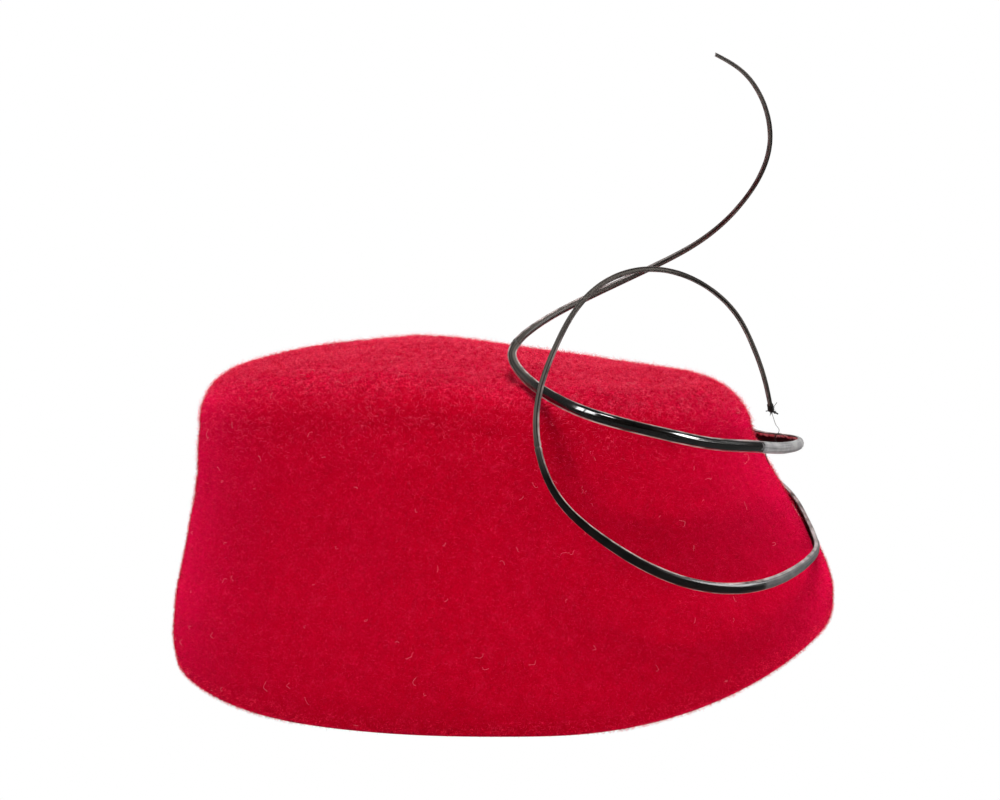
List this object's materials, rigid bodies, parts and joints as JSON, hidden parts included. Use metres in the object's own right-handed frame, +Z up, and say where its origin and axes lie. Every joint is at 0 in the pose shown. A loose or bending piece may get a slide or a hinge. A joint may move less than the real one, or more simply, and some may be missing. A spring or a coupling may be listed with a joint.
{
  "type": "felt cocktail beret",
  "caption": "Blocked wool felt beret with a wide oval rim, a smaller sloping crown and two curled lacquered quills",
  "frame": {"origin": "middle of the base of the whole object's box, on the plane the rim stands on; the head opening's centre is 4 mm to +Y of it, because the lower quill bulges past the -Y side", "axes": "+Z up through the crown, +X to the front end that carries the quills, -Y to the wearer's left"},
  "size_m": [0.23, 0.2002, 0.2236],
  "materials": {
    "felt": "brushed wool felt with a short nap",
    "ribbon": "ribbed petersham ribbon",
    "quill": "glossy lacquered feather spine",
    "thread": "matt twisted thread",
    "steel": "plain drawn steel",
    "elastic": "braided cover over a rubber core",
    "comb": "black moulded plastic",
    "label": "blank woven satin"
  },
  "bodies": {
    "hat": {"felt_shell": "felt", "rim_wire": "steel", "rim_wire_ferrule": "steel", "sweatband": "ribbon", "upper_quill_stitch_1": "thread", "upper_quill_stitch_2": "thread", "lower_quill_stitch_1": "thread", "lower_quill_stitch_2": "thread", "elastic_knot_left": "thread", "elastic_knot_right": "thread", "comb_stitch_1": "thread", "comb_stitch_2": "thread", "comb_stitch_3": "thread"},
    "quills": {"upper_quill": "quill", "lower_quill": "quill", "tip_knot": "thread", "tip_thread": "thread"},
    "elastic": {"elastic_cord": "elastic", "elastic_eye_left": "steel", "elastic_eye_right": "steel"},
    "comb": {"comb": "comb"},
    "label": {"care_label": "label"}
  },
  "joints": [
    {"name": "quill_flex", "type": "hinge", "parent": "hat", "child": "quills", "pos_m": [0.08024, 0.03717, 0.08813], "axis": [-0.3917, -0.1607, 0.906], "range_deg": [0, 5], "stiffness_Nm_per_rad": 0.2},
    {"name": "elastic_swing", "type": "hinge", "parent": "hat", "child": "elastic", "pos_m": [-0.01368, 0.004, 0.05477], "axis": [0, -1, 0], "range_deg": [0, 105]},
    {"name": "comb_tilt", "type": "hinge", "parent": "hat", "child": "comb", "pos_m": [0.09557, 0.004, 0.05343], "axis": [0, -1, 0], "range_deg": [0, 30]},
    {"name": "label_flap", "type": "hinge", "parent": "hat", "child": "label", "pos_m": [-0.10041, 0.004, 0.07436], "axis": [0, -1, 0], "range_deg": [0, 70], "stiffness_Nm_per_rad": 0.0003}
  ]
}
